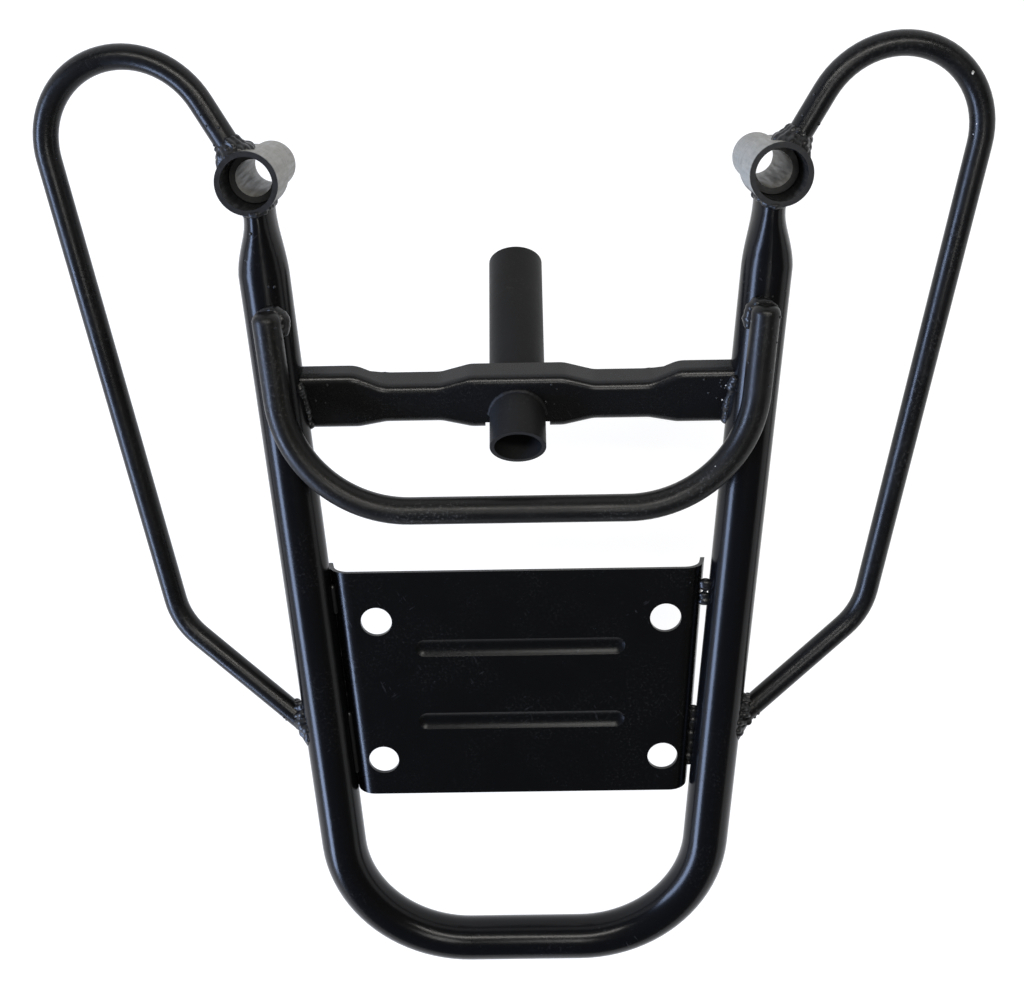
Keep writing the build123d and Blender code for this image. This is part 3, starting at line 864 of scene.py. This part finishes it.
# %% [markdown]
# ## Tacks on the plate
# The plate is tacked to the legs along its folded sides. On the left the fold touches the leg,
# and two long beads lie deep in the corner. On the right the fold stands off: at the front two
# separate lumps bridge the gap, and at the rear a row of drops lies low in it.


# %% Plate tacks
def seam(side, inset, front, rear, pitch, lift=1.0):
    count = max(2, int((front - rear) / pitch))
    ys = [front + (rear - front) * k / count for k in range(count + 1)]
    return [((leg_point(side, y) - Vector((side * inset, 0, -lift))) * MM, UP) for y in ys]


path = seam(-1, inset=11.4, front=61, rear=4, pitch=1.8, lift=-2.8)
bead("left_front_plate_weld", path, sizes=1.8, unrest=0.2)
path = seam(-1, inset=11.4, front=2, rear=-55, pitch=1.8, lift=-2.8)
bead("left_rear_plate_weld", path, sizes=1.8, unrest=0.2)
path = seam(1, inset=12.9, front=54.5, rear=51.5, pitch=1.5)
path += seam(1, inset=12.9, front=47, rear=44, pitch=1.5)
bead("right_front_plate_weld", path, sizes=3.2, unrest=0.2, filled=False)
path = seam(1, inset=12.25, front=-14, rear=-45, pitch=1.8, lift=-1.0)
bead("right_rear_plate_weld", path, sizes=2.2, unrest=0.25, filled=False)
print("four plate tacks")

# %% [markdown]
# ## A dome of spatter
# Welding throws off small beads of metal that stick to the steel nearby and are painted over.
# They could be bumps in the paint, but the larger ones break the highlights, so they are real
# little domes. One dome is modelled: a ball that is cut flat below and pressed a little.

# %% One dome
DOME_CUT = -0.45 * MM
DOME_PRESSING = (1.0, 1.0, 0.75)

bpy.ops.mesh.primitive_ico_sphere_add(subdivisions=2, radius=MM)
dome = bpy.context.object
dome.name = "spatter_dome"
bpy.ops.object.mode_set(mode="EDIT")
bpy.ops.mesh.select_all(action="SELECT")
bpy.ops.mesh.bisect(plane_co=(0, 0, DOME_CUT), plane_no=(0, 0, 1), use_fill=True, clear_inner=True)
bpy.ops.mesh.select_all(action="SELECT")
bpy.ops.transform.resize(value=DOME_PRESSING)
bpy.ops.object.mode_set(mode="OBJECT")
print("dome with", len(dome.data.polygons), "faces")

# %% [markdown]
# ## Spatter round the welds
# Copies of the dome go round each weld, at seeded random places that are moved to the nearest
# point of a solid. A dome that would stick out above the box of the solids is left out, because
# the look may not change the size of the rack. The drop and the dome that were copied are then
# taken away.

# %% Spatter
SPATTER = (                                 # solid, middle and spread in millimetres, count
    ("left_grab_loop", (-122, 262, 0), 14, 7), ("right_grab_loop", (122, 262, 0), 14, 8),
    ("main_frame_tube", (-104, 196, 8), 14, 3), ("main_frame_tube", (104, 196, 8), 14, 3),
    ("front_hoop", (104, 172, 18), 14, 9), ("front_hoop", (-102, 176, 18), 12, 4),
    ("cross_channel", (90, 148, 2), 9, 12), ("cross_channel", (-90, 148, 2), 9, 5),
    ("left_grab_loop", (-112, -18, -2), 10, 6), ("right_grab_loop", (112, -18, -2), 10, 6),
    ("carrier_plate", (80, 48, 0), 8, 4), ("cross_channel", (16, 148, 0), 10, 5),
    ("main_frame_tube", (-110, 218, 4), 10, 2), ("main_frame_tube", (110, 218, 4), 10, 2))
SPATTER_SIZES = (0.35, 0.8)

chance = random.Random(11)
domes = []
for solid, middle, spread, count in SPATTER:
    for _ in range(count):
        guess = Vector(middle) + Vector([chance.gauss(0, 0.5) * spread for _ in range(3)])
        _, place, normal, _ = nodes[solid].closest_point_on_mesh(guess * MM)
        size = chance.uniform(*SPATTER_SIZES)
        if place.z + size * MM < cad_box[1].z:
            domes.append(lay_drop(dome, place, normal.orthogonal(), normal, size))
spatter = join_pieces(domes, "weld_spatter")
bpy.ops.object.shade_smooth()
spatter.data.materials.append(bead_black)
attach(spatter, "root")
deselect_all()
for pattern in (drop, dome):
    bpy.data.objects.remove(pattern)
print(len(domes), "spatter domes,", len(spatter.data.polygons), "faces")
